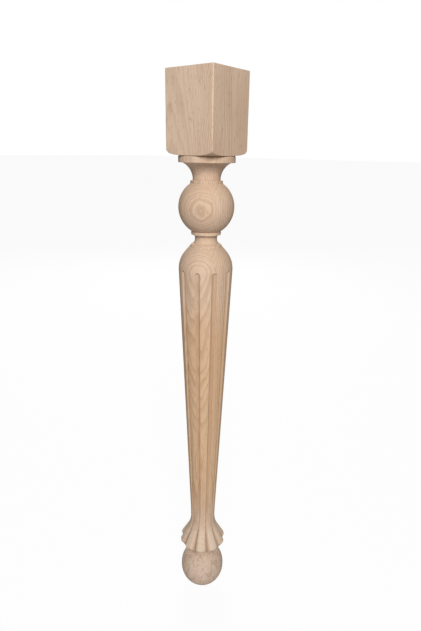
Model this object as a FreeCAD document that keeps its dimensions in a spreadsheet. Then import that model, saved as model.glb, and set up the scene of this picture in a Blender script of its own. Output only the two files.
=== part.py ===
"""Turned and carved table leg, one piece of solid wood.

The leg is made the way a turner and a carver make it. A square blank is padded
to its full length, everything below the block is turned away round the axis,
ten flutes are run down the tapering shaft, and the flared cuff above the ball
foot is carved into ten petals where those flutes end.

Frame: millimetres, +Z up, origin on the axis at the bottom of the ball foot,
block faces square to X and Y.
"""
import FreeCAD, Part
import math
import os

from FreeCAD import Placement, Rotation, Vector
import Sketcher

# Driving dimensions that stand alone
SIZES = {
    "blank_side": 70.0,
    "leg_length": 750.0,
    "arris_radius": 1.2,
    "swing_radius": 60.0,
    "foot_clearance": 2.0,
    "foot_ball_radius": 32.7,
    "ball_radius": 34.9,
    "flute_count": 10.0,
    "flute_angle": 3.0,
    "flute_head_radius": 3.84,
    "flute_head_floor": 32.3,
    "flute_head_up": 514.7,
    "flute_foot_radius": 2.2,
    "flute_foot_floor": 16.85,
    "flute_foot_up": 143.0,
    "petal_curve": 13.0,
    "mouth_rise": 0.4,
}

# Balls turned round a centre on the axis: the station where the ball's run of
# the outline starts, the size that sets its radius, the height of its centre.
BALLS = {
    "foot_flat": ("foot_ball_radius", 32.14),
    "foot_band": ("foot_ball_radius", 35.14),
    "shaft_head": ("ball_radius", 517.0),
    "ball_foot": ("ball_radius", 595.3),
}


def on_ball(run, height):
    """Radius from the axis, at a height, of the ball that a run belongs to."""
    size, centre = BALLS[run]
    return math.sqrt(SIZES[size] ** 2 - (height - centre) ** 2)


# Turned outline from the foot up: name, radius from the axis, height.
OUTLINE = [
    ("foot_flat", on_ball("foot_flat", 0.0), 0.0),
    ("foot_widest", on_ball("foot_flat", 32.14), 32.14),
    ("foot_band", on_ball("foot_band", 35.14), 35.14),
    ("foot_top", on_ball("foot_band", 62.44), 62.44),
    ("foot_neck", 18.0, 70.0),
    ("lip_under", 31.9, 82.2),
    ("lip_over", 33.97, 86.74),
    ("cuff_flare", 24.6, 103.1),
    ("waist", 18.0, 127.9),
    ("shaft_foot", 18.35, 143.0),
    ("shaft_head", on_ball("shaft_head", 515.5), 515.5),
    ("shoulder_crown", on_ball("shaft_head", 539.0), 539.0),
    ("shoulder_top", 21.2, 545.8),
    ("bead_foot", 20.4, 546.2),
    ("bead_head", 17.0, 550.0),
    ("cove_foot", 16.3, 550.3),
    ("cove_head", 15.6, 561.2),
    ("ring_foot", 18.8, 561.5),
    ("ring_head", 18.8, 565.1),
    ("ball_foot", on_ball("ball_foot", 565.5), 565.5),
    ("ball_head", on_ball("ball_foot", 623.5), 623.5),
    ("fillet_foot", 20.0, 623.9),
    ("fillet_head", 20.0, 627.3),
    ("throat_step", 17.1, 627.6),
    ("throat_head", 29.4, 647.8),
    ("collar_foot", 34.8, 648.3),
    ("collar_head", 34.8, 655.2),
    ("quirk", 34.0, 655.8),
    ("block_under", 35.2, 656.3),
    ("block_turn", 46.2, 658.6),
    ("block_edge", 50.0, 668.0),
]
NAMES = [name for name, _, _ in OUTLINE]
ON_BALLS = {NAMES[NAMES.index(run) + side] for run in BALLS for side in (0, 1)}

# Curved runs of the outline: the station a run starts from, its radius of
# curvature, and whether it bulges away from the axis.
CURVES = {
    "lip_under": (6.0, True),
    "cuff_flare": (50.0, False),
    "bead_foot": (6.0, True),
    "cove_foot": (8.6, False),
    "throat_step": (22.0, False),
    "block_under": (36.0, True),
    "block_turn": (11.0, True),
}

# Sections of one carved valley between two petals, from the end of the flute
# down past the lip of the cuff: name, height, radius of the turned surface,
# half width at the mouth, distance of the floor from the axis, radius of the
# floor, how far it turns up to each side, and how far round the leg the cut has
# strayed from its flute. The last two are in degrees.
VALLEYS = [
    ("run_in", 143.0, 18.35, 2.25, 16.85, 2.2, 70.0, 0.0),
    ("parting", 139.0, 18.26, 2.35, 16.66, 2.1, 60.0, -0.3),
    ("narrow", 129.0, 18.0, 2.6, 16.2, 1.8, 54.0, -1.0),
    ("spread", 116.0, 19.6, 3.6, 17.3, 1.5, 46.0, -2.4),
    ("flare", 105.0, 23.6, 5.4, 20.7, 1.3, 42.0, -3.8),
    ("swell", 95.5, 28.9, 7.7, 25.3, 1.2, 42.0, -5.0),
    ("rim", 86.0, 34.0, 9.6, 29.6, 1.1, 44.0, -5.0),
    ("below", 77.0, 35.0, 10.0, 30.0, 1.1, 44.0, -5.0),
]
VALLEY_PARTS = ["height", "surface", "half_width", "floor", "bend", "turn", "lean"]

doc = FreeCAD.newDocument("TableLeg")


def make_sheet():
    """Write every driving dimension into the sheet under its own alias."""
    rows = dict(SIZES)
    for name, radius, height in OUTLINE:
        rows[name + "_up"] = height
        if name not in ON_BALLS:
            rows[name + "_across"] = radius
    for name, (_, height) in BALLS.items():
        rows[name + "_centre_up"] = height
    for name, (radius, _) in CURVES.items():
        rows[name + "_sweep"] = radius
    for name, *values in VALLEYS:
        for part, value in zip(VALLEY_PARTS, values):
            rows["valley_" + name + "_" + part] = value
    sheet = doc.addObject("Spreadsheet::Sheet", "sizes")
    for row, (alias, value) in enumerate(rows.items(), start=1):
        sheet.set(f"A{row}", alias)
        sheet.set(f"B{row}", str(value))
        sheet.setAlias(f"B{row}", alias)
    doc.recompute()
    return sheet


def origin_plane(body, role):
    """Find one of the body's own origin planes."""
    return next(item for item in body.Origin.OriginFeatures if item.Role == role)


def new_sketch(body, name, role):
    """Add a sketch on one of the body's origin planes."""
    sketch = body.newObject("Sketcher::SketchObject", name)
    sketch.AttachmentSupport = [(origin_plane(body, role), "")]
    sketch.MapMode = "FlatFace"
    return sketch


def bind(sketch, kind, *targets, value, alias):
    """Add a driving constraint and tie it to a cell of the sheet."""
    index = sketch.addConstraint(Sketcher.Constraint(kind, *targets, value))
    sketch.setExpression(f"Constraints[{index}]", alias)
    return index


def cell(alias):
    """Name a cell of the sheet in an expression."""
    return f"<<sizes>>.{alias}"


def pin(sketch, edge, end, point, across, up):
    """Tie the end of an edge to its two distances from the sketch's origin."""
    bind(sketch, "DistanceX", -1, 1, edge, end, value=point.x, alias=across)
    bind(sketch, "DistanceY", -1, 1, edge, end, value=point.y, alias=up)


def arc_between(start, end, radius, outward):
    """Arc from start up to end that bulges away from the axis, or towards it."""
    chord = end.sub(start)
    half = chord.Length / 2
    reach = math.sqrt(radius * radius - half * half)
    side = Vector(chord.y, -chord.x, 0).normalize()
    sign = 1 if outward else -1
    middle = start.add(end).multiply(0.5)
    crown = middle.add(side.multiply(sign * (radius - reach)))
    return Part.Arc(start, crown, end)


def make_blank(body):
    """The square length of timber that the leg is turned from."""
    half = SIZES["blank_side"] / 2
    sketch = new_sketch(body, "blank_end", "XY_Plane")
    corners = [
        Vector(-half, -half, 0),
        Vector(half, -half, 0),
        Vector(half, half, 0),
        Vector(-half, half, 0),
    ]
    for index in range(4):
        sketch.addGeometry(Part.LineSegment(corners[index], corners[(index + 1) % 4]))
    for index in range(4):
        sketch.addConstraint(Sketcher.Constraint("Coincident", index, 2, (index + 1) % 4, 1))
    for index in (0, 2):
        sketch.addConstraint(Sketcher.Constraint("Horizontal", index))
        sketch.addConstraint(Sketcher.Constraint("Vertical", index + 1))
    sketch.addConstraint(Sketcher.Constraint("Symmetric", 0, 1, 1, 2, -1, 1))
    side = cell("blank_side")
    bind(sketch, "DistanceX", 0, 1, 0, 2, value=2 * half, alias=side)
    bind(sketch, "DistanceY", 1, 1, 1, 2, value=2 * half, alias=side)
    pad = body.newObject("PartDesign::Pad", "blank")
    pad.Profile = sketch
    pad.setExpression("Length", cell("leg_length"))
    doc.recompute()
    return pad


def soften_arrises(body, blank):
    """Ease the four long edges of the blank. Its sawn ends stay crisp."""
    long_edges = [
        f"Edge{index}"
        for index, edge in enumerate(blank.Shape.Edges, start=1)
        if edge.Length > SIZES["blank_side"] + 1
    ]
    fillet = body.newObject("PartDesign::Fillet", "arrises")
    fillet.Base = (blank, long_edges)
    fillet.setExpression("Radius", cell("arris_radius"))
    doc.recompute()
    return fillet


def run_curve(name, start, end):
    """Straight line or arc of the outline from one station to the next."""
    if name in BALLS:
        return arc_between(start, end, SIZES[BALLS[name][0]], outward=True)
    if name in CURVES:
        radius, outward = CURVES[name]
        return arc_between(start, end, radius, outward)
    return Part.LineSegment(start, end)


def join_runs(sketch, curves, points, closed=False):
    """Add curves that follow one another through points, and join their ends.

    Gives, for each curve, its number in the sketch and which of its ends lies
    at its first point and which at its last.
    """
    first = sketch.GeometryCount
    sketch.addGeometry(curves)
    runs = []
    for step, start in enumerate(points[: len(curves)]):
        index = first + step
        at_start = sketch.getPoint(index, 1).distanceToPoint(start) < 1e-6
        runs.append((index, 1, 2) if at_start else (index, 2, 1))
    joints = list(zip(runs, runs[1:])) + ([(runs[-1], runs[0])] if closed else [])
    for lower, upper in joints:
        joint = (lower[0], lower[2], upper[0], upper[1])
        sketch.addConstraint(Sketcher.Constraint("Coincident", *joint))
    return runs


def make_turning(body):
    """Turn everything below the block: the waste outside the outline is swept away."""
    sketch = new_sketch(body, "turned_outline", "XZ_Plane")
    swing, clear = SIZES["swing_radius"], SIZES["foot_clearance"]
    points = [Vector(radius, height, 0) for _, radius, height in OUTLINE]
    foot, edge = points[0], points[-1]
    waste = [Vector(swing, edge.y, 0), Vector(swing, -clear, 0), Vector(foot.x, -clear, 0)]
    curves = [run_curve(*run) for run in zip(NAMES, points, points[1:])]
    around = [edge, *waste, foot]
    curves += [Part.LineSegment(start, end) for start, end in zip(around, around[1:])]
    runs = join_runs(sketch, curves, points + waste, closed=True)

    for name, point, (index, start, _) in zip(NAMES, points, runs):
        bind(sketch, "DistanceY", -1, 1, index, start, value=point.y, alias=cell(name + "_up"))
        if name not in ON_BALLS:
            bind(sketch, "DistanceX", -1, 1, index, start, value=point.x, alias=cell(name + "_across"))
        if name in CURVES:
            bind(sketch, "Radius", index, value=CURVES[name][0], alias=cell(name + "_sweep"))
        elif name in BALLS:
            size, centre = BALLS[name]
            sketch.addConstraint(Sketcher.Constraint("PointOnObject", index, 3, -2))
            bind(sketch, "Radius", index, value=SIZES[size], alias=cell(size))
            bind(sketch, "DistanceY", -1, 1, index, 3, value=centre, alias=cell(name + "_centre_up"))
    top, side, bottom, rise = [run[0] for run in runs[-4:]]
    for level, upright in ((top, side), (bottom, rise)):
        sketch.addConstraint(Sketcher.Constraint("Horizontal", level))
        sketch.addConstraint(Sketcher.Constraint("Vertical", upright))
    bind(sketch, "DistanceX", -1, 1, top, 2, value=swing, alias=cell("swing_radius"))
    bind(sketch, "DistanceY", bottom, 1, -1, 1, value=clear, alias=cell("foot_clearance"))

    groove = body.newObject("PartDesign::Groove", "turning")
    groove.Profile = sketch
    groove.ReferenceAxis = (sketch, ["V_Axis"])
    groove.Angle = 360
    doc.recompute()
    return groove


def set_level(sketch, height, angle):
    """Lift a section sketch to its height and turn it round the axis, as expressions say."""
    sketch.AttachmentOffset = Placement(Vector(0, 0, 0), Rotation(Vector(0, 0, 1), 0))
    sketch.setExpression("AttachmentOffset.Base.z", height)
    sketch.setExpression("AttachmentOffset.Rotation.Angle", f"({angle}) * 1deg")


def flute_section(body, end):
    """Round section of the fluting cutter at one end of its run."""
    sketch = new_sketch(body, "flute_" + end, "XY_Plane")
    radius, floor = SIZES[f"flute_{end}_radius"], SIZES[f"flute_{end}_floor"]
    centre = Vector(floor + radius, 0, 0)
    sketch.addGeometry(Part.Circle(centre, Vector(0, 0, 1), radius))
    bind(sketch, "Radius", 0, value=radius, alias=cell(f"flute_{end}_radius"))
    sketch.addConstraint(Sketcher.Constraint("PointOnObject", 0, 3, -1))
    bind(sketch, "DistanceX", -1, 1, 0, 3, value=centre.x, alias=flute_reach(end))
    set_level(sketch, cell(f"flute_{end}_up"), cell("flute_angle"))
    return sketch


def flute_reach(end):
    """Distance from the axis to the cutter's centre at one end, as an expression."""
    return f"({cell(f'flute_{end}_floor')} + {cell(f'flute_{end}_radius')})"


def repeat_round(body, name, originals):
    """Repeat cuts ten times round the axis of the leg."""
    pattern = body.newObject("PartDesign::PolarPattern", name)
    pattern.Originals = originals
    pattern.Axis = (next(i for i in body.Origin.OriginFeatures if i.Role == "Z_Axis"), [""])
    pattern.Angle = 360
    pattern.setExpression("Occurrences", cell("flute_count"))
    body.Tip = pattern
    doc.recompute()
    return pattern


def make_flutes(body):
    """Ten round-bottomed flutes, each with a ball-nosed head under the shoulder."""
    run = body.newObject("PartDesign::SubtractiveLoft", "flute_run")
    run.Profile = flute_section(body, "head")
    run.Sections = [flute_section(body, "foot")]
    run.Ruled = True
    doc.recompute()

    nose = body.newObject("PartDesign::SubtractiveSphere", "flute_nose")
    nose.AttachmentSupport = [(origin_plane(body, "XY_Plane"), "")]
    nose.MapMode = "FlatFace"
    nose.setExpression("Radius", cell("flute_head_radius"))
    turn = f"({cell('flute_angle')} * 1deg)"
    nose.setExpression("AttachmentOffset.Base.x", f"{flute_reach('head')} * cos({turn})")
    nose.setExpression("AttachmentOffset.Base.y", f"{flute_reach('head')} * sin({turn})")
    nose.setExpression("AttachmentOffset.Base.z", cell("flute_head_up"))
    doc.recompute()
    return repeat_round(body, "flutes", [run, nose])


def valley_section(body, name, surface, half_width, floor, bend, turn):
    """One section of the carver's cut: a round floor between two petal-shaped flanks."""
    sketch = new_sketch(body, "valley_" + name, "XY_Plane")
    swing, curve = SIZES["swing_radius"], SIZES["petal_curve"]
    angle = math.radians(turn)
    bottom = Vector(floor, 0, 0)
    upper = [
        Vector(floor + bend - math.cos(angle) * bend, math.sin(angle) * bend, 0),
        Vector(math.sqrt(surface**2 - half_width**2) + SIZES["mouth_rise"], half_width, 0),
        Vector(swing, half_width, 0),
    ]
    lower = [Vector(point.x, -point.y, 0) for point in upper]
    (foot, mouth, far), (other_foot, other_mouth, other_far) = upper, lower
    curves = [
        Part.Arc(other_foot, bottom, foot),
        arc_between(foot, mouth, curve, outward=True),
        Part.LineSegment(mouth, far),
        Part.LineSegment(far, other_far),
        Part.LineSegment(other_far, other_mouth),
        arc_between(other_mouth, other_foot, curve, outward=True),
    ]
    points = [other_foot, foot, mouth, far, other_far, other_mouth]
    runs = join_runs(sketch, curves, points, closed=True)
    base, flank, edge, back, other_edge, other_flank = [run[0] for run in runs]
    foot_end, mouth_end = runs[0][2], runs[1][2]
    sizes = {part: cell(f"valley_{name}_{part}") for part in VALLEY_PARTS}

    sketch.addConstraint(Sketcher.Constraint("PointOnObject", base, 3, -1))
    sketch.addConstraint(Sketcher.Constraint("Symmetric", base, 1, base, 2, -1))
    bind(sketch, "DistanceX", -1, 1, base, 3, value=floor + bend, alias=f"{sizes['floor']} + {sizes['bend']}")
    bind(sketch, "Radius", base, value=bend, alias=sizes["bend"])
    rise = f"{sizes['bend']} * sin({sizes['turn']} * 1deg)"
    bind(sketch, "DistanceY", -1, 1, base, foot_end, value=foot.y, alias=rise)
    squares = f"{sizes['surface']} ^ 2 - {sizes['half_width']} ^ 2"
    mouth_reach = f"sqrt({squares}) + {cell('mouth_rise')}"
    pin(sketch, flank, mouth_end, mouth, mouth_reach, sizes["half_width"])
    mouths = (flank, mouth_end, other_flank, runs[5][1])
    sketch.addConstraint(Sketcher.Constraint("Symmetric", *mouths, -1))
    for index in (flank, other_flank):
        bind(sketch, "Radius", index, value=curve, alias=cell("petal_curve"))
    for index in (edge, other_edge):
        sketch.addConstraint(Sketcher.Constraint("Horizontal", index))
    sketch.addConstraint(Sketcher.Constraint("Vertical", back))
    bind(sketch, "DistanceX", -1, 1, back, 1, value=swing, alias=cell("swing_radius"))
    set_level(sketch, sizes["height"], f"{cell('flute_angle')} + {sizes['lean']}")
    return sketch


def carve_petals(body):
    """Carve the flared cuff into ten petals, where the flutes run out."""
    sections = [valley_section(body, name, *values[1:-1]) for name, *values in VALLEYS]
    valley = body.newObject("PartDesign::SubtractiveLoft", "valley")
    valley.Profile = sections[0]
    valley.Sections = sections[1:]
    valley.Ruled = True
    doc.recompute()
    return repeat_round(body, "petals", [valley])


def main():
    """Build the leg, check it and write its shape."""
    make_sheet()
    body = doc.addObject("PartDesign::Body", "table_leg")
    body.Label = "table_leg"
    blank = make_blank(body)
    soften_arrises(body, blank)
    make_turning(body)
    make_flutes(body)
    carve_petals(body)
    body.Placement = Placement(Vector(0, 0, 0), Rotation())
    doc.recompute()

    for item in doc.Objects:
        if "Invalid" in item.State or "Error" in item.State:
            raise RuntimeError(f"{item.Name} did not compute: {item.State}")
    shape = body.Shape
    if shape.isNull() or not shape.isValid() or len(shape.Solids) != 1:
        raise RuntimeError("table_leg is not one valid solid")
    os.makedirs("parts", exist_ok=True)
    shape.exportStep("parts/table_leg.step")


main()
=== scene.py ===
"""Turned and carved table leg in plain wood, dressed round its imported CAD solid.

The leg is worked here as it is on the bench: a blank of numbered rings is
turned to its outline, fluted, carved into petals and left square at the top.
"""
import logging
import math
from dataclasses import dataclass, field
from enum import Enum
from typing import Any, ClassVar

import bmesh
import bpy
from mathutils import Matrix, Vector


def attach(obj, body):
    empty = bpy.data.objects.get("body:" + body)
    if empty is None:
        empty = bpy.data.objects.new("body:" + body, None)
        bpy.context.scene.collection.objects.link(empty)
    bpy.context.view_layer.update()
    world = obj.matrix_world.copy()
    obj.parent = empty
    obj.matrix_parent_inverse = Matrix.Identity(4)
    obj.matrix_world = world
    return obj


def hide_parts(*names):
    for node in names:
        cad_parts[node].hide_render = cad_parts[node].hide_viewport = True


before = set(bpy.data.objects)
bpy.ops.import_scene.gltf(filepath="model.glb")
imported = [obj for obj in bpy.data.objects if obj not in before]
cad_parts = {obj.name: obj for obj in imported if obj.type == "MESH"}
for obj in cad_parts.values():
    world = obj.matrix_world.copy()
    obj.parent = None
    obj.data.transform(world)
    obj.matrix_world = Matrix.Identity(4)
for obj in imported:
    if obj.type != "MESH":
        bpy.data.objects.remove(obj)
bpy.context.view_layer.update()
LOG = logging.getLogger("table_leg")
MM = 0.001
FULL_TURN = 2.0 * math.pi

Point = tuple[float, float]
Span = tuple[float, float]
Colour = tuple[float, float, float, float]


def held(share: float) -> float:
    """Keep a share between 0 and 1."""
    return min(max(share, 0.0), 1.0)


def smooth(value: float, low: float, high: float) -> float:
    """Ease a value from 0 at low to 1 at high."""
    share = held((value - low) / (high - low))
    return share * share * (3.0 - 2.0 * share)


def blend(start: float, end: float, share: float) -> float:
    """Go from start to end by a share."""
    return start + (end - start) * share


def polar(reach: float, turn: float, height: float) -> Vector:
    """Point at a distance from the axis, a direction in radians and a height."""
    return Vector((reach * math.cos(turn), reach * math.sin(turn), height))


class Cut(Enum):
    """How a ring of the blank is worked."""

    ROUND = "left round from the lathe"
    FLUTE = "fluted"
    NOSE = "rounded head of the flutes"
    PETAL = "carved into petals"
    LIP = "rounded lip of the petals"
    UNDER = "turned underside of the block"
    WALL = "flat side of the block"
    EDGE = "start of the eased edge on top"
    TOP = "top of the block"


@dataclass(frozen=True)
class Ring:
    """One ring of the blank and where it comes to lie.

    Attributes:
        cut: How the ring is worked.
        radius: Turned radius in millimetres.
        height: Height in millimetres. On the block's side it counts from the underside.
        share: How far along its own run the ring lies, from 0 to 1.
    """

    cut: Cut
    radius: float
    height: float
    share: float = 0.0


@dataclass(frozen=True)
class Column:
    """One of the lines that run the length of the leg.

    Attributes:
        number: Place of the line round the leg.
        flute: Number of the flute or valley that the line belongs to.
        side: Which side of the flute's floor it lies, -1 or 1.
        inside: 0 on the floor of the flute, 1 at its edge.
        beyond: 0 at the edge of the flute, 1 midway to the next one.
    """

    number: int
    flute: int
    side: float
    inside: float
    beyond: float


@dataclass(frozen=True)
class Section:
    """Section of a carved valley at one height.

    Attributes:
        height: Height in millimetres.
        half: Half the angle that the valley takes up, in degrees.
        floor: Distance of its floor from the axis, in millimetres.
    """

    height: float
    half: float
    floor: float


@dataclass
class Outline:
    """Turned outline of the leg, drawn from the foot up as rings.

    Attributes:
        rings: The rings drawn so far.
    """

    rings: list[Ring] = field(default_factory=list)

    def start(self, point: Point) -> None:
        """Put down the first ring."""
        self.rings.append(Ring(Cut.ROUND, *point))

    def line(self, end: Point, steps: int = 1, cut: Cut = Cut.ROUND) -> None:
        """Draw a straight run.

        Args:
            end: Radius and height at the end of the run.
            steps: Number of rings along it.
            cut: How its rings are worked.
        """
        last = self.rings[-1]
        for step in range(1, steps + 1):
            share = step / steps
            radius = blend(last.radius, end[0], share)
            self.rings.append(Ring(cut, radius, blend(last.height, end[1], share), share))

    def arc(self, end: Point, bend: float, steps: int, cut: Cut = Cut.ROUND) -> None:
        """Draw an arc from the last ring.

        Args:
            end: Radius and height at the end of the arc.
            bend: Radius of the arc: above 0 it bulges outwards, below 0 inwards.
            steps: Number of rings along it.
            cut: How its rings are worked.
        """
        last = self.rings[-1]
        begin, finish = Vector((last.radius, last.height)), Vector(end)
        chord = finish - begin
        half = math.asin(chord.length / 2.0 / abs(bend))
        normal = Vector((chord.y, -chord.x)).normalized() * math.copysign(1.0, bend)
        centre = (begin + finish) / 2.0 - normal * abs(bend) * math.cos(half)
        for step in range(1, steps + 1):
            share = step / steps
            turn = blend(-half, half, share)
            spot = centre + normal * abs(bend) * math.cos(turn)
            spot += chord.normalized() * abs(bend) * math.sin(turn)
            self.rings.append(Ring(cut, spot.x, spot.y, share))

    def band(self, radius: float, heights: tuple[float, float, float, float], ease: float) -> None:
        """Draw a straight band with eased edges.

        Args:
            radius: Radius of the band.
            heights: Where its lower edge starts and ends, and where its upper one does.
            ease: How much smaller the outer ends of the edges are.
        """
        low, full, top, high = heights
        self.line((radius - ease, low))
        self.line((radius, full))
        self.line((radius, top), 2)
        self.line((radius - ease, high))


@dataclass
class TurnedLeg:
    """The whole leg: one piece of wood, turned, fluted, carved and left square on top.

    Lengths are in millimetres and angles in degrees, as a maker would set them out.
    A point of the outline is its radius and its height.
    """

    name: str = "leg_of_wood"
    leg_length: float = 750.0
    # Name of the point attribute that carries the painted shade for the grooves.
    groove_shade_amount: ClassVar[str] = "groove_shade_amount"

    foot_flat: Point = (6.03, 0.0)
    foot_middle: Point = (32.7, 32.14)
    foot_band: Point = (32.7, 35.14)
    foot_round: float = 32.7
    ankle: Point = (18.0, 62.44)

    lip_root: Point = (18.0, 70.0)
    lip_under: Point = (31.9, 82.2)
    lip_top: Point = (33.97, 86.74)
    lip_round: float = 4.2
    petal_slope: Point = (24.6, 103.1)
    flare_round: float = 50.0
    waist: Point = (18.0, 127.9)

    shaft_foot: Point = (18.35, 143.0)
    shaft_head: Point = (34.83, 514.7)
    nose_start: Point = (34.87, 515.5)
    nose_end: Point = (34.86, 518.33)
    ball_round: float = 34.9
    dome_end: Point = (27.09, 539.0)
    dome_slope: Point = (21.2, 545.8)

    bead_edge: Point = (20.4, 546.2)
    bead_end: Point = (17.0, 550.0)
    bead_round: float = 4.4
    cove_start: Point = (16.3, 550.3)
    cove_end: Point = (15.6, 561.2)
    cove_round: float = 8.6
    ring_radius: float = 18.8
    ring_heights: tuple[float, float, float, float] = (561.4, 561.8, 564.7, 565.1)
    band_ease: float = 0.4

    ball_start: Point = (18.15, 565.5)
    ball_end: Point = (20.65, 623.45)
    fillet_start: Point = (20.0, 623.9)
    fillet_end: Point = (20.0, 627.3)
    throat_start: Point = (17.1, 627.6)
    throat_end: Point = (29.4, 647.8)
    throat_round: float = 22.0
    collar_radius: float = 34.8
    collar_heights: tuple[float, float, float, float] = (648.25, 648.7, 654.8, 655.3)
    collar_end: Point = (34.0, 655.8)

    under_start: Point = (35.2, 656.3)
    under_sweep: Point = (46.2, 658.6)
    under_end: Point = (50.0, 668.0)
    sweep_round: float = 36.0
    corner_round: float = 11.0
    under_steps: int = 14
    block_half: float = 35.0
    wall_rises: tuple[float, ...] = (0.35, 6.0)
    arris: float = 1.2
    arris_steps: int = 6
    top_ease: float = 0.4
    turns_square: Span = (525.0, 640.0)

    flutes: int = 10
    flute_phase: float = 3.0
    seam_half: float = 6.0
    half_steps: tuple[float, ...] = (0.0, 0.06, 0.15, 0.28, 0.43, 0.58, 0.73, 0.86, 0.95, 1.0)
    land_steps: tuple[float, ...] = (0.04, 0.28, 0.54, 0.8, 1.0)
    head_cutter: float = 3.84
    head_reach: float = 36.14
    foot_cutter: float = 2.2
    foot_reach: float = 19.05
    last_rise: float = 0.9999
    least_half: float = 0.03

    strays: tuple[float, ...] = (-4.0, -5.6, -4.6, -5.9, -4.8, -5.2, -4.4, -6.7, -5.4, -4.7)
    strays_end: float = 96.0
    sections: tuple[Section, ...] = (
        Section(143.0, 6.43, 16.85),
        Section(129.0, 7.6, 16.7),
        Section(116.0, 10.4, 17.9),
        Section(105.0, 13.2, 20.8),
        Section(95.5, 15.3, 25.2),
        Section(86.0, 16.5, 29.4),
        Section(76.0, 16.8, 29.8),
    )
    petals_start: float = 126.0
    petal_fullness: float = 2.9
    groove_round: float = 0.07

    # Painted shade in the flute floors, the petal valleys and under the lip, and the heights where it
    # changes.
    flute_shade: float = 0.55
    cuff_shade: float = 0.35
    flute_shade_ends: Span = (146.0, 128.0)
    cuff_shade_deepens: Span = (124.0, 104.0)
    lip_shade_starts: Span = (70.0, 84.0)
    soft_edge: float = 32.0

    def outline(self) -> Outline:
        """Draw the turned outline from the foot up.

        Returns:
            The outline with all its rings.
        """
        line = Outline()
        line.start(self.foot_flat)
        line.arc(self.foot_middle, self.foot_round, 20)
        line.line(self.foot_band)
        line.arc(self.ankle, self.foot_round, 16)
        line.line(self.lip_root, 2)
        line.line(self.lip_under, 6, Cut.LIP)
        line.arc(self.lip_top, self.lip_round, 8, Cut.LIP)
        line.line(self.petal_slope, 16, Cut.PETAL)
        line.arc(self.waist, -self.flare_round, 18, Cut.PETAL)
        line.line(self.shaft_foot, 8, Cut.PETAL)
        line.line(self.shaft_head, 26, Cut.FLUTE)
        line.line(self.nose_start, 2, Cut.NOSE)
        line.arc(self.nose_end, self.ball_round, 10, Cut.NOSE)
        line.arc(self.dome_end, self.ball_round, 12)
        line.line(self.dome_slope, 5)
        line.line(self.bead_edge)
        line.arc(self.bead_end, self.bead_round, 7)
        line.line(self.cove_start)
        line.arc(self.cove_end, -self.cove_round, 9)
        line.band(self.ring_radius, self.ring_heights, self.band_ease)
        line.line(self.ball_start)
        line.arc(self.ball_end, self.ball_round, 40)
        line.line(self.fillet_start)
        line.line(self.fillet_end, 2)
        line.line(self.throat_start)
        line.arc(self.throat_end, -self.throat_round, 14)
        line.band(self.collar_radius, self.collar_heights, self.band_ease)
        line.line(self.collar_end)
        line.line(self.under_start, 1, Cut.UNDER)
        line.arc(self.under_sweep, self.sweep_round, 8, Cut.UNDER)
        line.arc(self.under_end, self.corner_round, 14, Cut.UNDER)
        return line

    def columns(self) -> list[Column]:
        """Set out the lines that run the length of the leg.

        Returns:
            The lines in order round the leg.
        """
        left = [(-1.0, 1.0, beyond) for beyond in reversed(self.land_steps[:-1])]
        left += [(-1.0, inside, 0.0) for inside in reversed(self.half_steps[1:])]
        right = [(1.0, inside, 0.0) for inside in self.half_steps]
        right += [(1.0, 1.0, beyond) for beyond in self.land_steps]
        pattern = left + right
        return [
            Column(flute * len(pattern) + place, flute, *ways)
            for flute in range(self.flutes)
            for place, ways in enumerate(pattern)
        ]

    def build(self) -> bpy.types.Object:
        """Spin the blank and work each of its rings.

        Returns:
            The finished leg as one mesh object.
        """
        drawn = self.outline().rings
        rings = [ring for ring in drawn if ring.cut is not Cut.UNDER]
        under = [ring for ring in drawn if ring.cut is Cut.UNDER]
        for step in range(1, self.under_steps + 1):
            rings.append(Ring(Cut.UNDER, *self.collar_end, step / self.under_steps))
        rings += [Ring(Cut.WALL, self.block_half, rise) for rise in self.wall_rises]
        rings += [Ring(cut, self.block_half, self.leg_length) for cut in (Cut.EDGE, Cut.TOP)]
        columns = self.columns()

        bm = bmesh.new()
        spots = [bm.verts.new((1.0, 0.0, float(number))) for number in range(len(rings))]
        edges = [bm.edges.new(pair) for pair in zip(spots, spots[1:])]
        bmesh.ops.spin(
            bm, geom=spots + edges, cent=(0, 0, 0), axis=(0, 0, 1), dvec=(0, 0, 0),
            angle=FULL_TURN, steps=len(columns), use_merge=True, use_duplicate=False,
        )
        places = self.square_places(len(columns))
        # Each point keeps how much painted shade its groove gets.
        depth = bm.verts.layers.float.new(self.groove_shade_amount)
        for spot in bm.verts:
            ring = rings[round(spot.co.z)]
            turn = math.atan2(spot.co.y, spot.co.x) % FULL_TURN
            column = columns[round(turn / FULL_TURN * len(columns)) % len(columns)]
            spot[depth] = self.shade_in_groove(ring, column)
            spot.co = self.worked(ring, column, places[column.number], under) * MM
        bmesh.ops.holes_fill(bm, edges=[edge for edge in bm.edges if edge.is_boundary])
        bmesh.ops.recalc_face_normals(bm, faces=bm.faces)
        for face in bm.faces:
            face.smooth = True
        for edge in bm.edges:
            edge.smooth = edge.calc_face_angle(0.0) < math.radians(self.soft_edge)
        mesh = bpy.data.meshes.new(self.name)
        bm.to_mesh(mesh)
        bm.free()
        leg = bpy.data.objects.new(self.name, mesh)
        bpy.context.scene.collection.objects.link(leg)
        return leg

    def dress(self, leg: bpy.types.Object, wood: "BareBeech") -> None:
        """Give the leg its wood and its place in the frame.

        Args:
            leg: The finished leg.
            wood: The finish that it gets.
        """
        leg.data.materials.append(wood.make())
        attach(leg, "root")
        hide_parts("table_leg")

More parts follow.
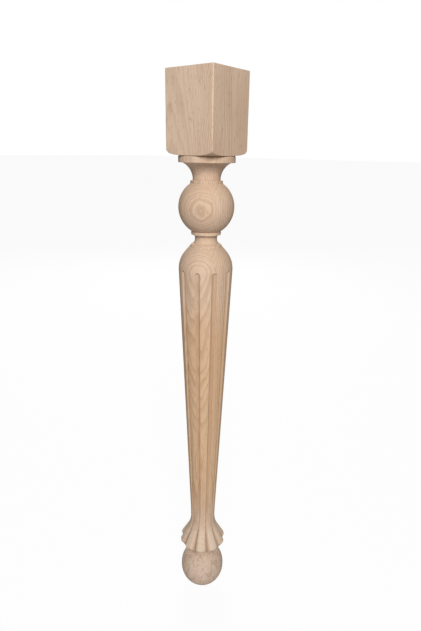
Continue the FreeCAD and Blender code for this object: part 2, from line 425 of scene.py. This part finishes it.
    def shade_in_groove(self, ring: Ring, column: Column) -> float:
        """Tell how much painted shade a point gets, from how far down in a groove it lies.

        Args:
            ring: The ring that the point is on.
            column: The line that the point is on.

        Returns:
            0 on the surface, up to 1 where the painted shade is deepest, on the floor of a valley.
        """
        # Painted shade: darkest on the floors of the flutes and valleys, none on the lands.
        down = 1.0 - column.inside
        fluted = self.flute_shade * math.sqrt(down)
        if ring.cut is Cut.FLUTE:
            return fluted
        if ring.cut is Cut.NOSE:
            return fluted * (1.0 - ring.share)
        if ring.cut is Cut.PETAL:
            valley_shade = down**3 * blend(self.cuff_shade, 1.0, smooth(ring.height, *self.cuff_shade_deepens))
            return blend(fluted, valley_shade, smooth(ring.height, *self.flute_shade_ends))
        if ring.cut is Cut.LIP:
            return down**3 * smooth(ring.height, *self.lip_shade_starts)
        return 0.0

    def square_places(self, count: int) -> list[Vector]:
        """Set out points round the block's section, close together on its rounded arrises.

        Args:
            count: Number of lines that run up the leg.

        Returns:
            One point for each line, in the order of the lines.
        """
        per_side = count // 4
        flat, core = per_side - self.arris_steps, self.block_half - self.arris
        places = []
        for side in range(4):
            turn = Matrix.Rotation(side * FULL_TURN / 4.0, 2)
            for step in range(flat):
                places.append(turn @ Vector((self.block_half, blend(-core, core, step / flat))))
            for step in range(self.arris_steps):
                angle = step / self.arris_steps * FULL_TURN / 4.0
                corner = Vector((math.cos(angle), math.sin(angle))) * self.arris
                places.append(turn @ (Vector((core, core)) + corner))
        first = self.direction(self.columns()[0], self.seam_half, 0.0)
        gaps = [abs(math.remainder(math.atan2(place.y, place.x) - first, FULL_TURN)) for place in places]
        start = gaps.index(min(gaps))
        return places[start:] + places[:start]

    def direction(self, column: Column, half: float, offset: float) -> float:
        """Direction of a line from the axis.

        Args:
            column: The line.
            half: Half the angle that the flute or valley takes up.
            offset: How far the carver's cut strays from the flute.

        Returns:
            The direction in radians from +X.
        """
        pitch = 360.0 / self.flutes
        local = blend(offset + column.side * half, column.side * pitch / 2.0, column.beyond)
        if column.inside < 1.0:
            local = offset + column.side * half * column.inside
        return math.radians(self.flute_phase + column.flute * pitch + local)

    def worked(self, ring: Ring, column: Column, place: Vector, under: list[Ring]) -> Vector:
        """Find where one point of the blank ends up.

        Args:
            ring: The ring that the point is on.
            column: The line that the point is on.
            place: The line's place on the section of the block.
            under: Rings of the turned underside of the block.

        Returns:
            The point in millimetres.
        """
        if ring.cut in (Cut.FLUTE, Cut.NOSE):
            return self.fluted(ring, column)
        if ring.cut is Cut.PETAL:
            return self.cuffed(ring, column)
        if ring.cut is Cut.LIP:
            return self.lipped(ring, column)
        if ring.cut is not Cut.ROUND:
            return self.squared(ring, place, under)
        radius, height = self.shaft_foot
        turn = self.direction(column, self.flute_half(height, radius)[0], 0.0)
        share = smooth(ring.height, *self.turns_square)
        turn += math.remainder(math.atan2(place.y, place.x) - turn, FULL_TURN) * share
        return polar(ring.radius, turn, ring.height)

    def cutter(self, height: float) -> tuple[float, float]:
        """Set the fluting cutter for a height.

        Args:
            height: Height in millimetres.

        Returns:
            Radius of the cutter, and how far its centre is from the axis.
        """
        foot, head = self.shaft_foot[1], self.shaft_head[1]
        share = held((height - foot) / (head - foot))
        reach = blend(self.foot_reach, self.head_reach, share)
        radius = blend(self.foot_cutter, self.head_cutter, share)
        if height > head:
            rise = min((height - head) / self.head_cutter, self.last_rise)
            radius *= math.sqrt(1.0 - rise * rise)
        return radius, reach

    def flute_half(self, height: float, surface: float) -> tuple[float, float, float]:
        """Find how wide the flutes are at a height.

        Args:
            height: Height in millimetres.
            surface: Turned radius there.

        Returns:
            Half the angle of a flute, with the cutter's radius and reach.
        """
        radius, reach = self.cutter(height)
        cosine = (reach**2 + surface**2 - radius**2) / (2.0 * reach * surface)
        half = math.degrees(math.acos(min(cosine, 1.0)))
        return max(half, self.least_half), radius, reach

    def flute_depth(self, angle: float, radius: float, reach: float, surface: float) -> float:
        """Find the distance from the axis to the flute's surface.

        Args:
            angle: Angle from the middle of the flute.
            radius: Radius of the cutter.
            reach: Distance of its centre from the axis.
            surface: Turned radius there.

        Returns:
            The distance, at most the turned radius.
        """
        sideways = reach * math.sin(math.radians(angle))
        if abs(sideways) >= radius:
            return surface
        return min(reach * math.cos(math.radians(angle)) - math.sqrt(radius**2 - sideways**2), surface)

    def fluted(self, ring: Ring, column: Column) -> Vector:
        """Find where a point of the shaft ends up.

        Args:
            ring: The ring that the point is on.
            column: The line that the point is on.

        Returns:
            The point in millimetres.
        """
        half, radius, reach = self.flute_half(ring.height, ring.radius)
        across = ring.radius
        if column.inside < 1.0:
            across = self.flute_depth(half * column.inside, radius, reach, ring.radius)
        return polar(across, self.direction(column, half, 0.0), ring.height)

    def valley(self, flute: int, height: float) -> tuple[float, float, float]:
        """Find the carver's cut at a height.

        Args:
            flute: Number of the flute that the valley carries on.
            height: Height in millimetres.

        Returns:
            How far it strays from its flute, half its angle, and the distance of its floor.
        """
        step = sum(height < section.height for section in self.sections[1:-1])
        upper, lower = self.sections[step], self.sections[step + 1]
        share = held((upper.height - height) / (upper.height - lower.height))
        half = blend(upper.half, lower.half, share)
        floor = blend(upper.floor, lower.floor, share)
        return self.strays[flute] * smooth(height, self.shaft_foot[1], self.strays_end), half, floor

    def cuffed(self, ring: Ring, column: Column) -> Vector:
        """Find where a point of the flared cuff ends up.

        Args:
            ring: The ring that the point is on.
            column: The line that the point is on.

        Returns:
            The point in millimetres.
        """
        offset, half, floor = self.valley(column.flute, ring.height)
        foot_radius, foot_height = self.shaft_foot
        share = smooth(ring.height, foot_height, self.petals_start)
        across = self.petal(column, floor, ring.radius)
        if share < 1.0:
            _, radius, reach = self.flute_half(foot_height, foot_radius)
            flute = ring.radius
            if column.inside < 1.0:
                flute = self.flute_depth(half * column.inside, radius, reach, ring.radius)
            across = blend(flute, across, share)
        return polar(across, self.direction(column, half, offset), ring.height)

    def lip_height(self, across: float) -> float:
        """Height of the slope under the lip, at a distance from the axis."""
        share = (across - self.lip_root[0]) / (self.lip_under[0] - self.lip_root[0])
        return blend(self.lip_root[1], self.lip_under[1], share)

    def lipped(self, ring: Ring, column: Column) -> Vector:
        """Find where a point of the scalloped lip, or of the slope under it, ends up.

        Args:
            ring: The ring that the point is on.
            column: The line that the point is on.

        Returns:
            The point in millimetres.
        """
        root_radius, root_height = self.lip_root
        edge_radius, edge_height = self.lip_under
        top_radius, top_height = self.lip_top
        offset, half, floor = self.valley(column.flute, max(ring.height, edge_height))
        low = self.petal(column, floor, edge_radius)
        if ring.height < edge_height:
            share = (ring.height - root_height) / (edge_height - root_height)
            ease = smooth(ring.height, root_height, edge_height)
            across = blend(root_radius, low, share)
            turn = self.direction(column, blend(self.sections[0].half, half, ease), offset * ease)
            return polar(across, turn, self.lip_height(across))
        share = (ring.height - edge_height) / (top_height - edge_height)
        across = ring.radius
        if column.inside < 1.0:
            bulge = ring.radius - blend(edge_radius, top_radius, share)
            across = blend(low, self.petal(column, floor, top_radius), share) + bulge * column.inside**2
        height = blend(self.lip_height(low), top_height, share)
        return polar(across, self.direction(column, half, offset), height)

    def petal(self, column: Column, floor: float, crest: float) -> float:
        """Find the distance from the axis to a petal's rounded flank.

        Args:
            column: The line that runs down the flank.
            floor: Distance of the valley's floor.
            crest: Distance of the petal's crest.

        Returns:
            The distance in millimetres.
        """
        if column.inside == 1.0 or crest <= floor:
            return crest
        soft = self.groove_round
        rise = (math.hypot(column.inside, soft) - soft) / (math.hypot(1.0, soft) - soft)
        return crest - (crest - floor) * (1.0 - rise) ** self.petal_fullness

    def underside(self, radius: float, under: list[Ring]) -> float:
        """Find the height of the block's turned underside.

        Args:
            radius: Distance from the axis.
            under: Rings of the turned underside of the block.

        Returns:
            The height in millimetres.
        """
        last = Ring(Cut.UNDER, *self.collar_end)
        for upper in under:
            if radius <= upper.radius:
                share = (radius - last.radius) / (upper.radius - last.radius)
                return blend(last.height, upper.height, share)
            last = upper
        return last.height

    def squared(self, ring: Ring, place: Vector, under: list[Ring]) -> Vector:
        """Find where a point of the block, or of its turned underside, ends up.

        Args:
            ring: The ring that the point is on.
            place: The line's place on the section of the block.
            under: Rings of the turned underside of the block.

        Returns:
            The point in millimetres.
        """
        edge = place.length
        if ring.cut is Cut.UNDER:
            radius = blend(self.collar_end[0], edge, ring.share)
            spot = place * (radius / edge)
            return Vector((spot.x, spot.y, self.underside(radius, under)))
        if ring.cut is Cut.WALL:
            return Vector((place.x, place.y, self.underside(edge, under) + ring.height))
        if ring.cut is Cut.EDGE:
            return Vector((place.x, place.y, ring.height - self.top_ease))
        shrink = 1.0 - self.top_ease / self.block_half
        return Vector((place.x * shrink, place.y * shrink, ring.height))


class Blend(Enum):
    """Ways of laying one colour over another."""

    MIX = "MIX"
    MULTIPLY = "MULTIPLY"


@dataclass
class Wire:
    """One value in a material, with plain arithmetic on it.

    Attributes:
        bench: The bench that the value was made on.
        socket: The output it comes from.
    """

    bench: "Bench"
    socket: Any

    def _math(self, kind: str, *values: Any) -> "Wire":
        """Work out values with one Math node."""
        return self.bench.node("ShaderNodeMath", 0, {"operation": kind}, dict(enumerate(values)))

    def __add__(self, other: Any) -> "Wire":
        """Add a value."""
        return self._math("ADD", self, other)

    def __radd__(self, other: Any) -> "Wire":
        """Add to a number."""
        return self._math("ADD", other, self)

    def __sub__(self, other: Any) -> "Wire":
        """Take a value away."""
        return self._math("SUBTRACT", self, other)

    def __rsub__(self, other: Any) -> "Wire":
        """Take away from a number."""
        return self._math("SUBTRACT", other, self)

    def __mul__(self, other: Any) -> "Wire":
        """Multiply by a value."""
        return self._math("MULTIPLY", self, other)

    def __rmul__(self, other: Any) -> "Wire":
        """Multiply a number."""
        return self._math("MULTIPLY", other, self)

    def __truediv__(self, other: Any) -> "Wire":
        """Divide by a value."""
        return self._math("DIVIDE", self, other)

    def __rtruediv__(self, other: Any) -> "Wire":
        """Divide a number."""
        return self._math("DIVIDE", other, self)

    def __pow__(self, other: Any) -> "Wire":
        """Raise to a power."""
        return self._math("POWER", self, other)

    def __rpow__(self, other: Any) -> "Wire":
        """Raise a number to this power."""
        return self._math("POWER", other, self)

    def root(self) -> "Wire":
        """Square root."""
        return self._math("SQRT", self)

    def size(self) -> "Wire":
        """Size without its sign."""
        return self._math("ABSOLUTE", self)

    def part(self) -> "Wire":
        """What is left after the whole number."""
        return self._math("FRACT", self)

    def above(self, level: float) -> "Wire":
        """1 above a level and 0 below it."""
        return self._math("GREATER_THAN", self, level)

    def eased(self, low: float, high: float) -> "Wire":
        """Ease from 0 at low to 1 at high.

        Args:
            low: Level where it starts.
            high: Level where it is full.

        Returns:
            The eased value.
        """
        settings = {"interpolation_type": "SMOOTHSTEP"}
        values = {"Value": self, "From Min": low, "From Max": high}
        return self.bench.node("ShaderNodeMapRange", "Result", settings, values)

    def spread(self, low: float, high: float, start: float, end: float) -> "Wire":
        """Go evenly from one value to another, and stop at both."""
        values = {"Value": self, "From Min": low, "From Max": high, "To Min": start, "To Max": end}
        return self.bench.node("ShaderNodeMapRange", "Result", {"clamp": True}, values)


Place = tuple[Wire, Wire, Wire]


@dataclass
class Bench:
    """Where a material is put together.

    Attributes:
        tree: Node tree of the material.
    """

    tree: Any

    def feed(self, made: bpy.types.Node, values: dict[Any, Any]) -> None:
        """Give a node what its inputs hold.

        Args:
            made: The node.
            values: What its inputs hold, or where they come from.
        """
        for name, value in values.items():
            if isinstance(value, Wire):
                self.tree.links.new(value.socket, made.inputs[name])
            else:
                made.inputs[name].default_value = value

    def node(self, kind: str, output: Any, settings: dict[str, Any], values: dict[Any, Any]) -> Wire:
        """Make a node, set it and feed it.

        Args:
            kind: Blender's name for the node.
            output: Output to go on with.
            settings: Settings of the node.
            values: What its inputs hold, or where they come from.

        Returns:
            The chosen output.
        """
        made = self.tree.nodes.new(kind)
        for name, value in settings.items():
            setattr(made, name, value)
        self.feed(made, values)
        return Wire(self, made.outputs[output])

    def split(self, vector: Wire) -> Place:
        """Take a vector apart.

        Args:
            vector: The vector.

        Returns:
            Its three parts.
        """
        first = self.node("ShaderNodeSeparateXYZ", 0, {}, {"Vector": vector})
        outputs = first.socket.node.outputs
        return first, Wire(self, outputs[1]), Wire(self, outputs[2])

    def join(self, across: Any, along: Any, up: Any) -> Wire:
        """Put a vector together."""
        return self.node("ShaderNodeCombineXYZ", 0, {}, {"X": across, "Y": along, "Z": up})

    def noise(self, spot: Wire, detail: float, rough: float = 0.5) -> Wire:
        """Soft noise from 0 to 1, one change to a unit."""
        values = {"Vector": spot, "Scale": 1.0, "Detail": detail, "Roughness": rough}
        return self.node("ShaderNodeTexNoise", "Fac", {}, values)

    def tint(self, base: Any, over: Any, share: Any, way: Blend = Blend.MIX) -> Wire:
        """Lay one colour over another.

        Args:
            base: Colour underneath.
            over: Colour on top.
            share: How much of it.
            way: How it is laid on.

        Returns:
            The mixed colour.
        """
        settings = {"data_type": "RGBA", "blend_type": way.value, "clamp_factor": True}
        return self.node("ShaderNodeMix", 2, settings, {0: share, 6: base, 7: over})


@dataclass(frozen=True)
class Grain:
    """Noise drawn out along the leg.

    Attributes:
        across: Changes in a millimetre across the leg.
        along: Changes in a millimetre along it.
        detail: Layers of finer noise in it.
        rough: Weight of the finer layers.
        step: How far it is moved from the first stave to the last.
    """

    across: float
    along: float
    detail: float = 2.0
    rough: float = 0.5
    step: float = 0.0

    def lay(self, bench: Bench, place: Place, shift: Any) -> Wire:
        """Noise from 0 to 1 at a place, moved along by a shift.

        Args:
            bench: Where the material is made.
            place: Position in millimetres.
            shift: How far the noise is moved, in its own units.

        Returns:
            The noise.
        """
        side, depth, up = place
        spot = bench.join(side * self.across, depth * self.across, up * self.along + shift)
        return bench.noise(spot, self.detail, self.rough)


@dataclass(frozen=True)
class Coat:
    """Colour laid on where a pattern is strong.

    Attributes:
        colour: The colour.
        low: Level of the pattern where it starts.
        high: Level where it is full.
        share: How much of it there is at the most.
    """

    colour: Colour
    low: float
    high: float
    share: float = 1.0

    def lay(self, bench: Bench, base: Wire, pattern: Wire, where: Any = 1.0) -> Wire:
        """Lay the colour over a base, by a pattern and a mask."""
        return bench.tint(base, self.colour, pattern.eased(self.low, self.high) * (where * self.share))


@dataclass(frozen=True)
class Stave:
    """One of the staves that the blank is glued up from.

    Attributes:
        tilt: Direction that its growth layers face, in degrees from +X.
        bow: How far away the heart of the tree is, in millimetres.
        shift: Moves its pattern along the leg, in millimetres.
        seed: Varies the spacing of its rings.
    """

    tilt: float
    bow: float
    shift: float
    seed: float


@dataclass(frozen=True)
class Swelling:
    """Place where the growth layers swell, which shows as an arch.

    Attributes:
        side: Its place across the face of the layers, in millimetres.
        height: Its height.
        width: How far it reaches sideways.
        length: How far it reaches along the leg.
        rise: How far it pushes the layers out.
    """

    side: float
    height: float
    width: float
    length: float
    rise: float

    def push(self, side: Wire, up: Wire) -> Wire:
        """How far the layers are pushed out at a place."""
        away = ((side - self.side) / self.width) ** 2.0 + ((up - self.height) / self.length) ** 2.0
        return self.rise / (away + 1.0)


@dataclass(frozen=True)
class BareBeech:
    """Bare sanded wood with solid grain, glued up from three staves.

    Positions are in millimetres in the leg's own frame. A pair of heights says
    between which two a change takes place.
    """

    name: str = "bare_wood"
    early: Colour = (0.62, 0.445, 0.315, 1.0)
    late: Colour = (0.43, 0.275, 0.175, 1.0)
    pale: Colour = (0.70, 0.535, 0.405, 1.0)
    pink: Colour = (0.56, 0.385, 0.30, 1.0)
    dark: Colour = (0.28, 0.17, 0.105, 1.0)
    # Painted highlight colour, laid on convex edges and on the petals.
    highlight_colour: Colour = (0.76, 0.61, 0.48, 1.0)
    # Painted shade colour for the floors of the flutes and petal valleys.
    groove_shade_colour: Colour = (0.33, 0.19, 0.105, 1.0)
    warmth: Colour = (1.0, 0.925, 0.80, 1.0)
    greying: Colour = (0.62, 0.495, 0.41, 1.0)

    stave_planes: tuple[float, float] = (-18.0, 2.0)
    staves: tuple[Stave, Stave, Stave] = (
        Stave(-70.0, 60.0, 40.0, 3.1),
        Stave(28.0, 140.0, 310.0, 8.7),
        Stave(80.0, 90.0, 720.0, 5.3),
    )
    swelling: Swelling = Swelling(21.0, 716.0, 14.0, 30.0, 13.0)
    drift: Grain = Grain(0.011, 0.0042, 1.0)
    drift_reach: float = 22.0
    waver: Grain = Grain(0.05, 0.012)
    waver_reach: float = 3.2
    ring_gap: float = 1.9
    uneven: float = 0.35
    uneven_reach: float = 1.6
    late_grows: Span = (0.35, 0.92)
    late_stops: Span = (0.92, 1.0)

    fibre: Grain = Grain(1.1, 0.035, 3.0, 0.6, 9.0)
    fleck: Grain = Grain(0.9, 0.16, 1.0, step=5.0)
    bruise: Grain = Grain(0.2, 0.09, step=4.0)
    patch: Grain = Grain(0.018, 0.007, step=3.0)
    streak: Grain = Grain(0.16, 0.006, step=7.0)

    patch_coat: Coat = Coat(pale, 0.42, 0.7, 0.5)
    streak_coat: Coat = Coat(pink, 0.5, 0.75, 0.45)
    fibre_coat: Coat = Coat(late, 0.48, 0.76, 0.5)
    fleck_coat: Coat = Coat(dark, 0.62, 0.72)
    bruise_coat: Coat = Coat(dark, 0.55, 0.61, 0.6)
    # Painted highlight on convex edges and arrises.
    edge_highlight_coat: Coat = Coat(highlight_colour, 0.52, 0.60, 0.55)
    # Painted shade in creases and inner corners, where the surface is least pointy.
    crease_shade_edge: Span = (0.40, 0.49)
    crease_shade_share: float = 0.45
    seam_edge: Span = (0.10, 0.45)
    seam_share: float = 0.16
    # How much painted light brightens the band of the petals.
    petal_light_share: float = 0.5
    # How strong the painted shade in the grooves is.
    groove_shade_share: float = 0.8
    grey_share: float = 0.4

    foot_ends: Span = (60.0, 120.0)
    ring_shares: Span = (1.0, 0.62)
    fleck_shares: Span = (0.6, 0.4)
    bruises_end: Span = (62.0, 100.0)
    warmth_starts: Span = (110.0, 200.0)
    warmth_ends: Span = (420.0, 500.0)
    grey_ends: Span = (60.0, 90.0)
    # Heights between which the petals get painted light.
    petal_light_starts: Span = (78.0, 86.0)
    petal_light_ends: Span = (104.0, 124.0)

    roughness: float = 0.62
    fibre_rough: float = 0.14
    fibre_relief: float = 0.6
    ring_relief: float = 0.4
    relief_strength: float = 0.12
    relief_depth: float = 0.0003
    gloss: float = 0.28

    def layers(self, bench: Bench, place: Place, stave: Stave) -> Wire:
        """Find where a place lies among the growth layers of a stave.

        Args:
            bench: Where the material is made.
            place: Position in millimetres.
            stave: The stave.

        Returns:
            The distance across the layers in millimetres.
        """
        across, along, up = place
        turn = math.radians(stave.tilt)
        depth = across * math.cos(turn) + along * math.sin(turn)
        side = along * math.cos(turn) - across * math.sin(turn)
        far = ((depth + stave.bow) ** 2.0 + side**2.0).root() - stave.bow
        far = far + self.swelling.push(side, up)
        drift = self.drift.lay(bench, place, stave.shift * self.drift.along) - 0.5
        waver = self.waver.lay(bench, place, stave.shift * self.waver.along) - 0.5
        return far + drift * self.drift_reach + waver * self.waver_reach

    def ring_tone(self, bench: Bench, depth: Wire, seed: float) -> Wire:
        """Find how dark the late wood is.

        Args:
            bench: Where the material is made.
            depth: Distance across the layers.
            seed: Varies the spacing of the rings.

        Returns:
            0 in early wood, up to 1 in late wood.
        """
        uneven = bench.noise(bench.join(depth * self.uneven + seed, seed, 0.0), 1.0)
        place = (depth / self.ring_gap + uneven * self.uneven_reach).part()
        return place.eased(*self.late_grows) * (1.0 - place.eased(*self.late_stops))

    def figure(self, bench: Bench, place: Place) -> tuple[Wire, Wire]:
        """Put the staves side by side.

        Args:
            bench: Where the material is made.
            place: Position in millimetres.

        Returns:
            The stave, from 0 at the front to 1 at the back, and how dark its late wood is.
        """
        in_middle, in_back = (place[1].above(plane) for plane in self.stave_planes)
        front, middle, back = (
            self.ring_tone(bench, self.layers(bench, place, stave), stave.seed) for stave in self.staves
        )
        tone = front * (1.0 - in_middle) + middle * in_middle * (1.0 - in_back) + back * in_back
        return in_middle * 0.5 + in_back * 0.5, tone

    def grown(self, bench: Bench, place: Place, stave: Wire, tone: Wire, fibre: Wire) -> Wire:
        """Colour the wood as it grew.

        Args:
            bench: Where the material is made.
            place: Position in millimetres.
            stave: Which stave the place is in.
            tone: How dark its late wood is.
            fibre: Pattern of the fibres.

        Returns:
            The colour.
        """
        up = place[2]
        fleck = self.fleck.lay(bench, place, stave * self.fleck.step)
        bruise = self.bruise.lay(bench, place, self.bruise.step)
        patch = self.patch.lay(bench, place, stave * self.patch.step)
        streak = self.streak.lay(bench, place, stave * self.streak.step)
        colour = bench.tint(self.early, self.late, tone * up.spread(*self.foot_ends, *self.ring_shares))
        colour = self.patch_coat.lay(bench, colour, patch)
        colour = self.streak_coat.lay(bench, colour, streak)
        colour = self.fibre_coat.lay(bench, colour, fibre)
        colour = self.fleck_coat.lay(bench, colour, fleck, up.spread(*self.foot_ends, *self.fleck_shares))
        return self.bruise_coat.lay(bench, colour, bruise, 1.0 - up.eased(*self.bruises_end))

    def aged(self, bench: Bench, place: Place, colour: Wire) -> Wire:
        """Warm the shaft, grey the foot, show seams, paint shade into grooves and creases, and paint
        highlights onto edges and the petals.

        Args:
            bench: Where the material is made.
            place: Position in millimetres.
            colour: Colour of the wood as it grew.

        Returns:
            The finished colour.
        """
        along, up = place[1], place[2]
        warm = up.eased(*self.warmth_starts) * (1.0 - up.eased(*self.warmth_ends))
        colour = bench.tint(colour, self.warmth, warm, Blend.MULTIPLY)
        colour = bench.tint(colour, self.greying, (1.0 - up.eased(*self.grey_ends)) * self.grey_share)
        first, second = (1.0 - (along - plane).size().eased(*self.seam_edge) for plane in self.stave_planes)
        colour = bench.tint(colour, self.dark, (first + second) * self.seam_share)
        # Painted light: the band of the petals made lighter, as if more light fell there.
        crest = up.eased(*self.petal_light_starts) * (1.0 - up.eased(*self.petal_light_ends))
        colour = bench.tint(colour, self.highlight_colour, crest * self.petal_light_share)
        # Painted shade: the floors of flutes and valleys darkened by the attribute set on the mesh.
        groove_shade_amount = bench.node("ShaderNodeAttribute", "Fac", {"attribute_name": TurnedLeg.groove_shade_amount}, {})
        colour = bench.tint(colour, self.groove_shade_colour, groove_shade_amount * self.groove_shade_share)
        # Painted highlight: convex edges made lighter the sharper they are.
        edge = bench.node("ShaderNodeNewGeometry", "Pointiness", {}, {})
        colour = self.edge_highlight_coat.lay(bench, colour, edge)
        # Painted shade: concave creases and corners made darker.
        return bench.tint(colour, self.dark, (1.0 - edge.eased(*self.crease_shade_edge)) * self.crease_shade_share)

    def make(self) -> bpy.types.Material:
        """Make the material.

        Returns:
            The finished material.
        """
        material = bpy.data.materials.new(self.name)
        material.use_nodes = True
        bench = Bench(material.node_tree)
        metres = bench.node("ShaderNodeTexCoord", "Object", {}, {})
        spot = bench.node("ShaderNodeVectorMath", 0, {"operation": "SCALE"}, {0: metres, "Scale": 1.0 / MM})
        place = bench.split(spot)
        stave, tone = self.figure(bench, place)
        fibre = self.fibre.lay(bench, place, stave * self.fibre.step)
        colour = self.aged(bench, place, self.grown(bench, place, stave, tone, fibre))
        relief = {
            "Strength": self.relief_strength,
            "Distance": self.relief_depth,
            "Height": fibre * self.fibre_relief + tone * self.ring_relief,
        }
        finish = {
            "Base Color": colour,
            "Roughness": self.roughness + fibre * self.fibre_rough,
            "Normal": bench.node("ShaderNodeBump", 0, {}, relief),
            "Specular IOR Level": self.gloss,
        }
        bench.feed(material.node_tree.nodes["Principled BSDF"], finish)
        return material


@dataclass(frozen=True)
class Lamp:
    """A soft square lamp.

    Attributes:
        name: Its name.
        place: Where it hangs, in metres.
        size: Length of its side, in metres.
        power: Its power in watts.
    """

    name: str
    place: tuple[float, float, float]
    size: float
    power: float


@dataclass
class Studio:
    """Plain pale floor, soft lamps and the camera. The eye is in millimetres, the rest in metres."""

    eye: tuple[float, float, float] = (385.57, -488.26, 662.61)
    heading: tuple[float, float] = (-0.6105, 0.7920)
    pitch: float = 18.665
    roll: float = 0.885
    focal_pixels: float = 490.0
    picture_width: float = 421.0
    sensor: float = 36.0
    nearest: float = 0.01
    lamps: tuple[Lamp, ...] = (
        Lamp("key", (1.4, -1.6, 1.8), 0.8, 65.0),
        Lamp("back", (-1.5, 1.7, 1.5), 1.2, 42.0),
    )
    lit_point: tuple[float, float, float] = (0.0, 0.0, 0.4)
    room_light: float = 0.12
    backdrop: float = 1.0
    white: Colour = (1.0, 1.0, 1.0, 1.0)
    floor_half: float = 40.0
    floor_colour: Colour = (0.5, 0.5, 0.5, 1.0)
    floor_roughness: float = 0.9
    floor_glow: float = 1.03
    glow_share: float = 0.92

    def build(self) -> None:
        """Set up the camera, the light and the floor."""
        self.camera()
        self.world()
        for lamp in self.lamps:
            self.hang(lamp)
        self.floor()

    def camera(self) -> None:
        """Set up the camera where the photographer stood."""
        down = math.radians(self.pitch)
        flat = Vector((*self.heading, 0.0)).normalized()
        forward = flat * math.cos(down) - Vector((0, 0, math.sin(down)))
        right = forward.cross(Vector((0, 0, 1))).normalized()
        up = right.cross(forward)
        lean = math.radians(self.roll)
        across = right * math.cos(lean) + up * math.sin(lean)
        rise = up * math.cos(lean) - right * math.sin(lean)
        data = bpy.data.cameras.new("camera")
        data.sensor_fit = "HORIZONTAL"
        data.sensor_width = self.sensor
        data.lens = self.sensor * self.focal_pixels / self.picture_width
        data.clip_start = self.nearest
        camera = bpy.data.objects.new("camera", data)
        pose = Matrix((across, rise, -forward)).transposed().to_4x4()
        pose.translation = Vector(self.eye) * MM
        camera.matrix_world = pose
        bpy.context.scene.collection.objects.link(camera)
        bpy.context.scene.camera = camera

    def hang(self, lamp: Lamp) -> None:
        """Hang a lamp that looks at the middle of the leg.

        Args:
            lamp: The lamp.
        """
        data = bpy.data.lights.new(lamp.name, "AREA")
        data.size = lamp.size
        data.energy = lamp.power
        hung = bpy.data.objects.new(lamp.name, data)
        hung.location = lamp.place
        aim = Vector(self.lit_point) - Vector(lamp.place)
        hung.rotation_euler = aim.to_track_quat("-Z", "Y").to_euler()
        bpy.context.scene.collection.objects.link(hung)

    def world(self) -> None:
        """Light the room evenly, with white behind the leg."""
        world = bpy.data.worlds.new("studio")
        world.use_nodes = True
        bpy.context.scene.world = world
        bench = Bench(world.node_tree)
        seen = bench.node("ShaderNodeLightPath", "Is Camera Ray", {}, {})
        strength = seen.spread(0.0, 1.0, self.room_light, self.backdrop)
        bench.feed(world.node_tree.nodes["Background"], {"Color": self.white, "Strength": strength})

    def floor(self) -> None:
        """Lay a pale floor that keeps the leg's shadow."""
        bm = bmesh.new()
        bmesh.ops.create_grid(bm, x_segments=1, y_segments=1, size=self.floor_half)
        mesh = bpy.data.meshes.new("floor")
        bm.to_mesh(mesh)
        bm.free()
        floor = bpy.data.objects.new("floor", mesh)
        bpy.context.scene.collection.objects.link(floor)
        material = bpy.data.materials.new("floor_paint")
        material.use_nodes = True
        bench = Bench(material.node_tree)
        nodes = material.node_tree.nodes
        paint = nodes["Principled BSDF"]
        bench.feed(paint, {"Base Color": self.floor_colour, "Roughness": self.floor_roughness})
        glow = bench.node("ShaderNodeEmission", 0, {}, {"Strength": self.floor_glow})
        seen = bench.node("ShaderNodeLightPath", "Is Camera Ray", {}, {})
        shades = {"Fac": seen * self.glow_share, 1: Wire(bench, paint.outputs[0]), 2: glow}
        bench.feed(nodes["Material Output"], {"Surface": bench.node("ShaderNodeMixShader", 0, {}, shades)})
        mesh.materials.append(material)


def main() -> None:
    """Make the leg and the studio round it."""
    logging.basicConfig(level=logging.INFO)
    bpy.context.scene.view_settings.view_transform = "Standard"
    turned = TurnedLeg()
    leg = turned.build()
    turned.dress(leg, BareBeech())
    LOG.info("%s: %d faces", leg.name, len(leg.data.polygons))
    Studio().build()


if __name__ == "__main__":
    main()
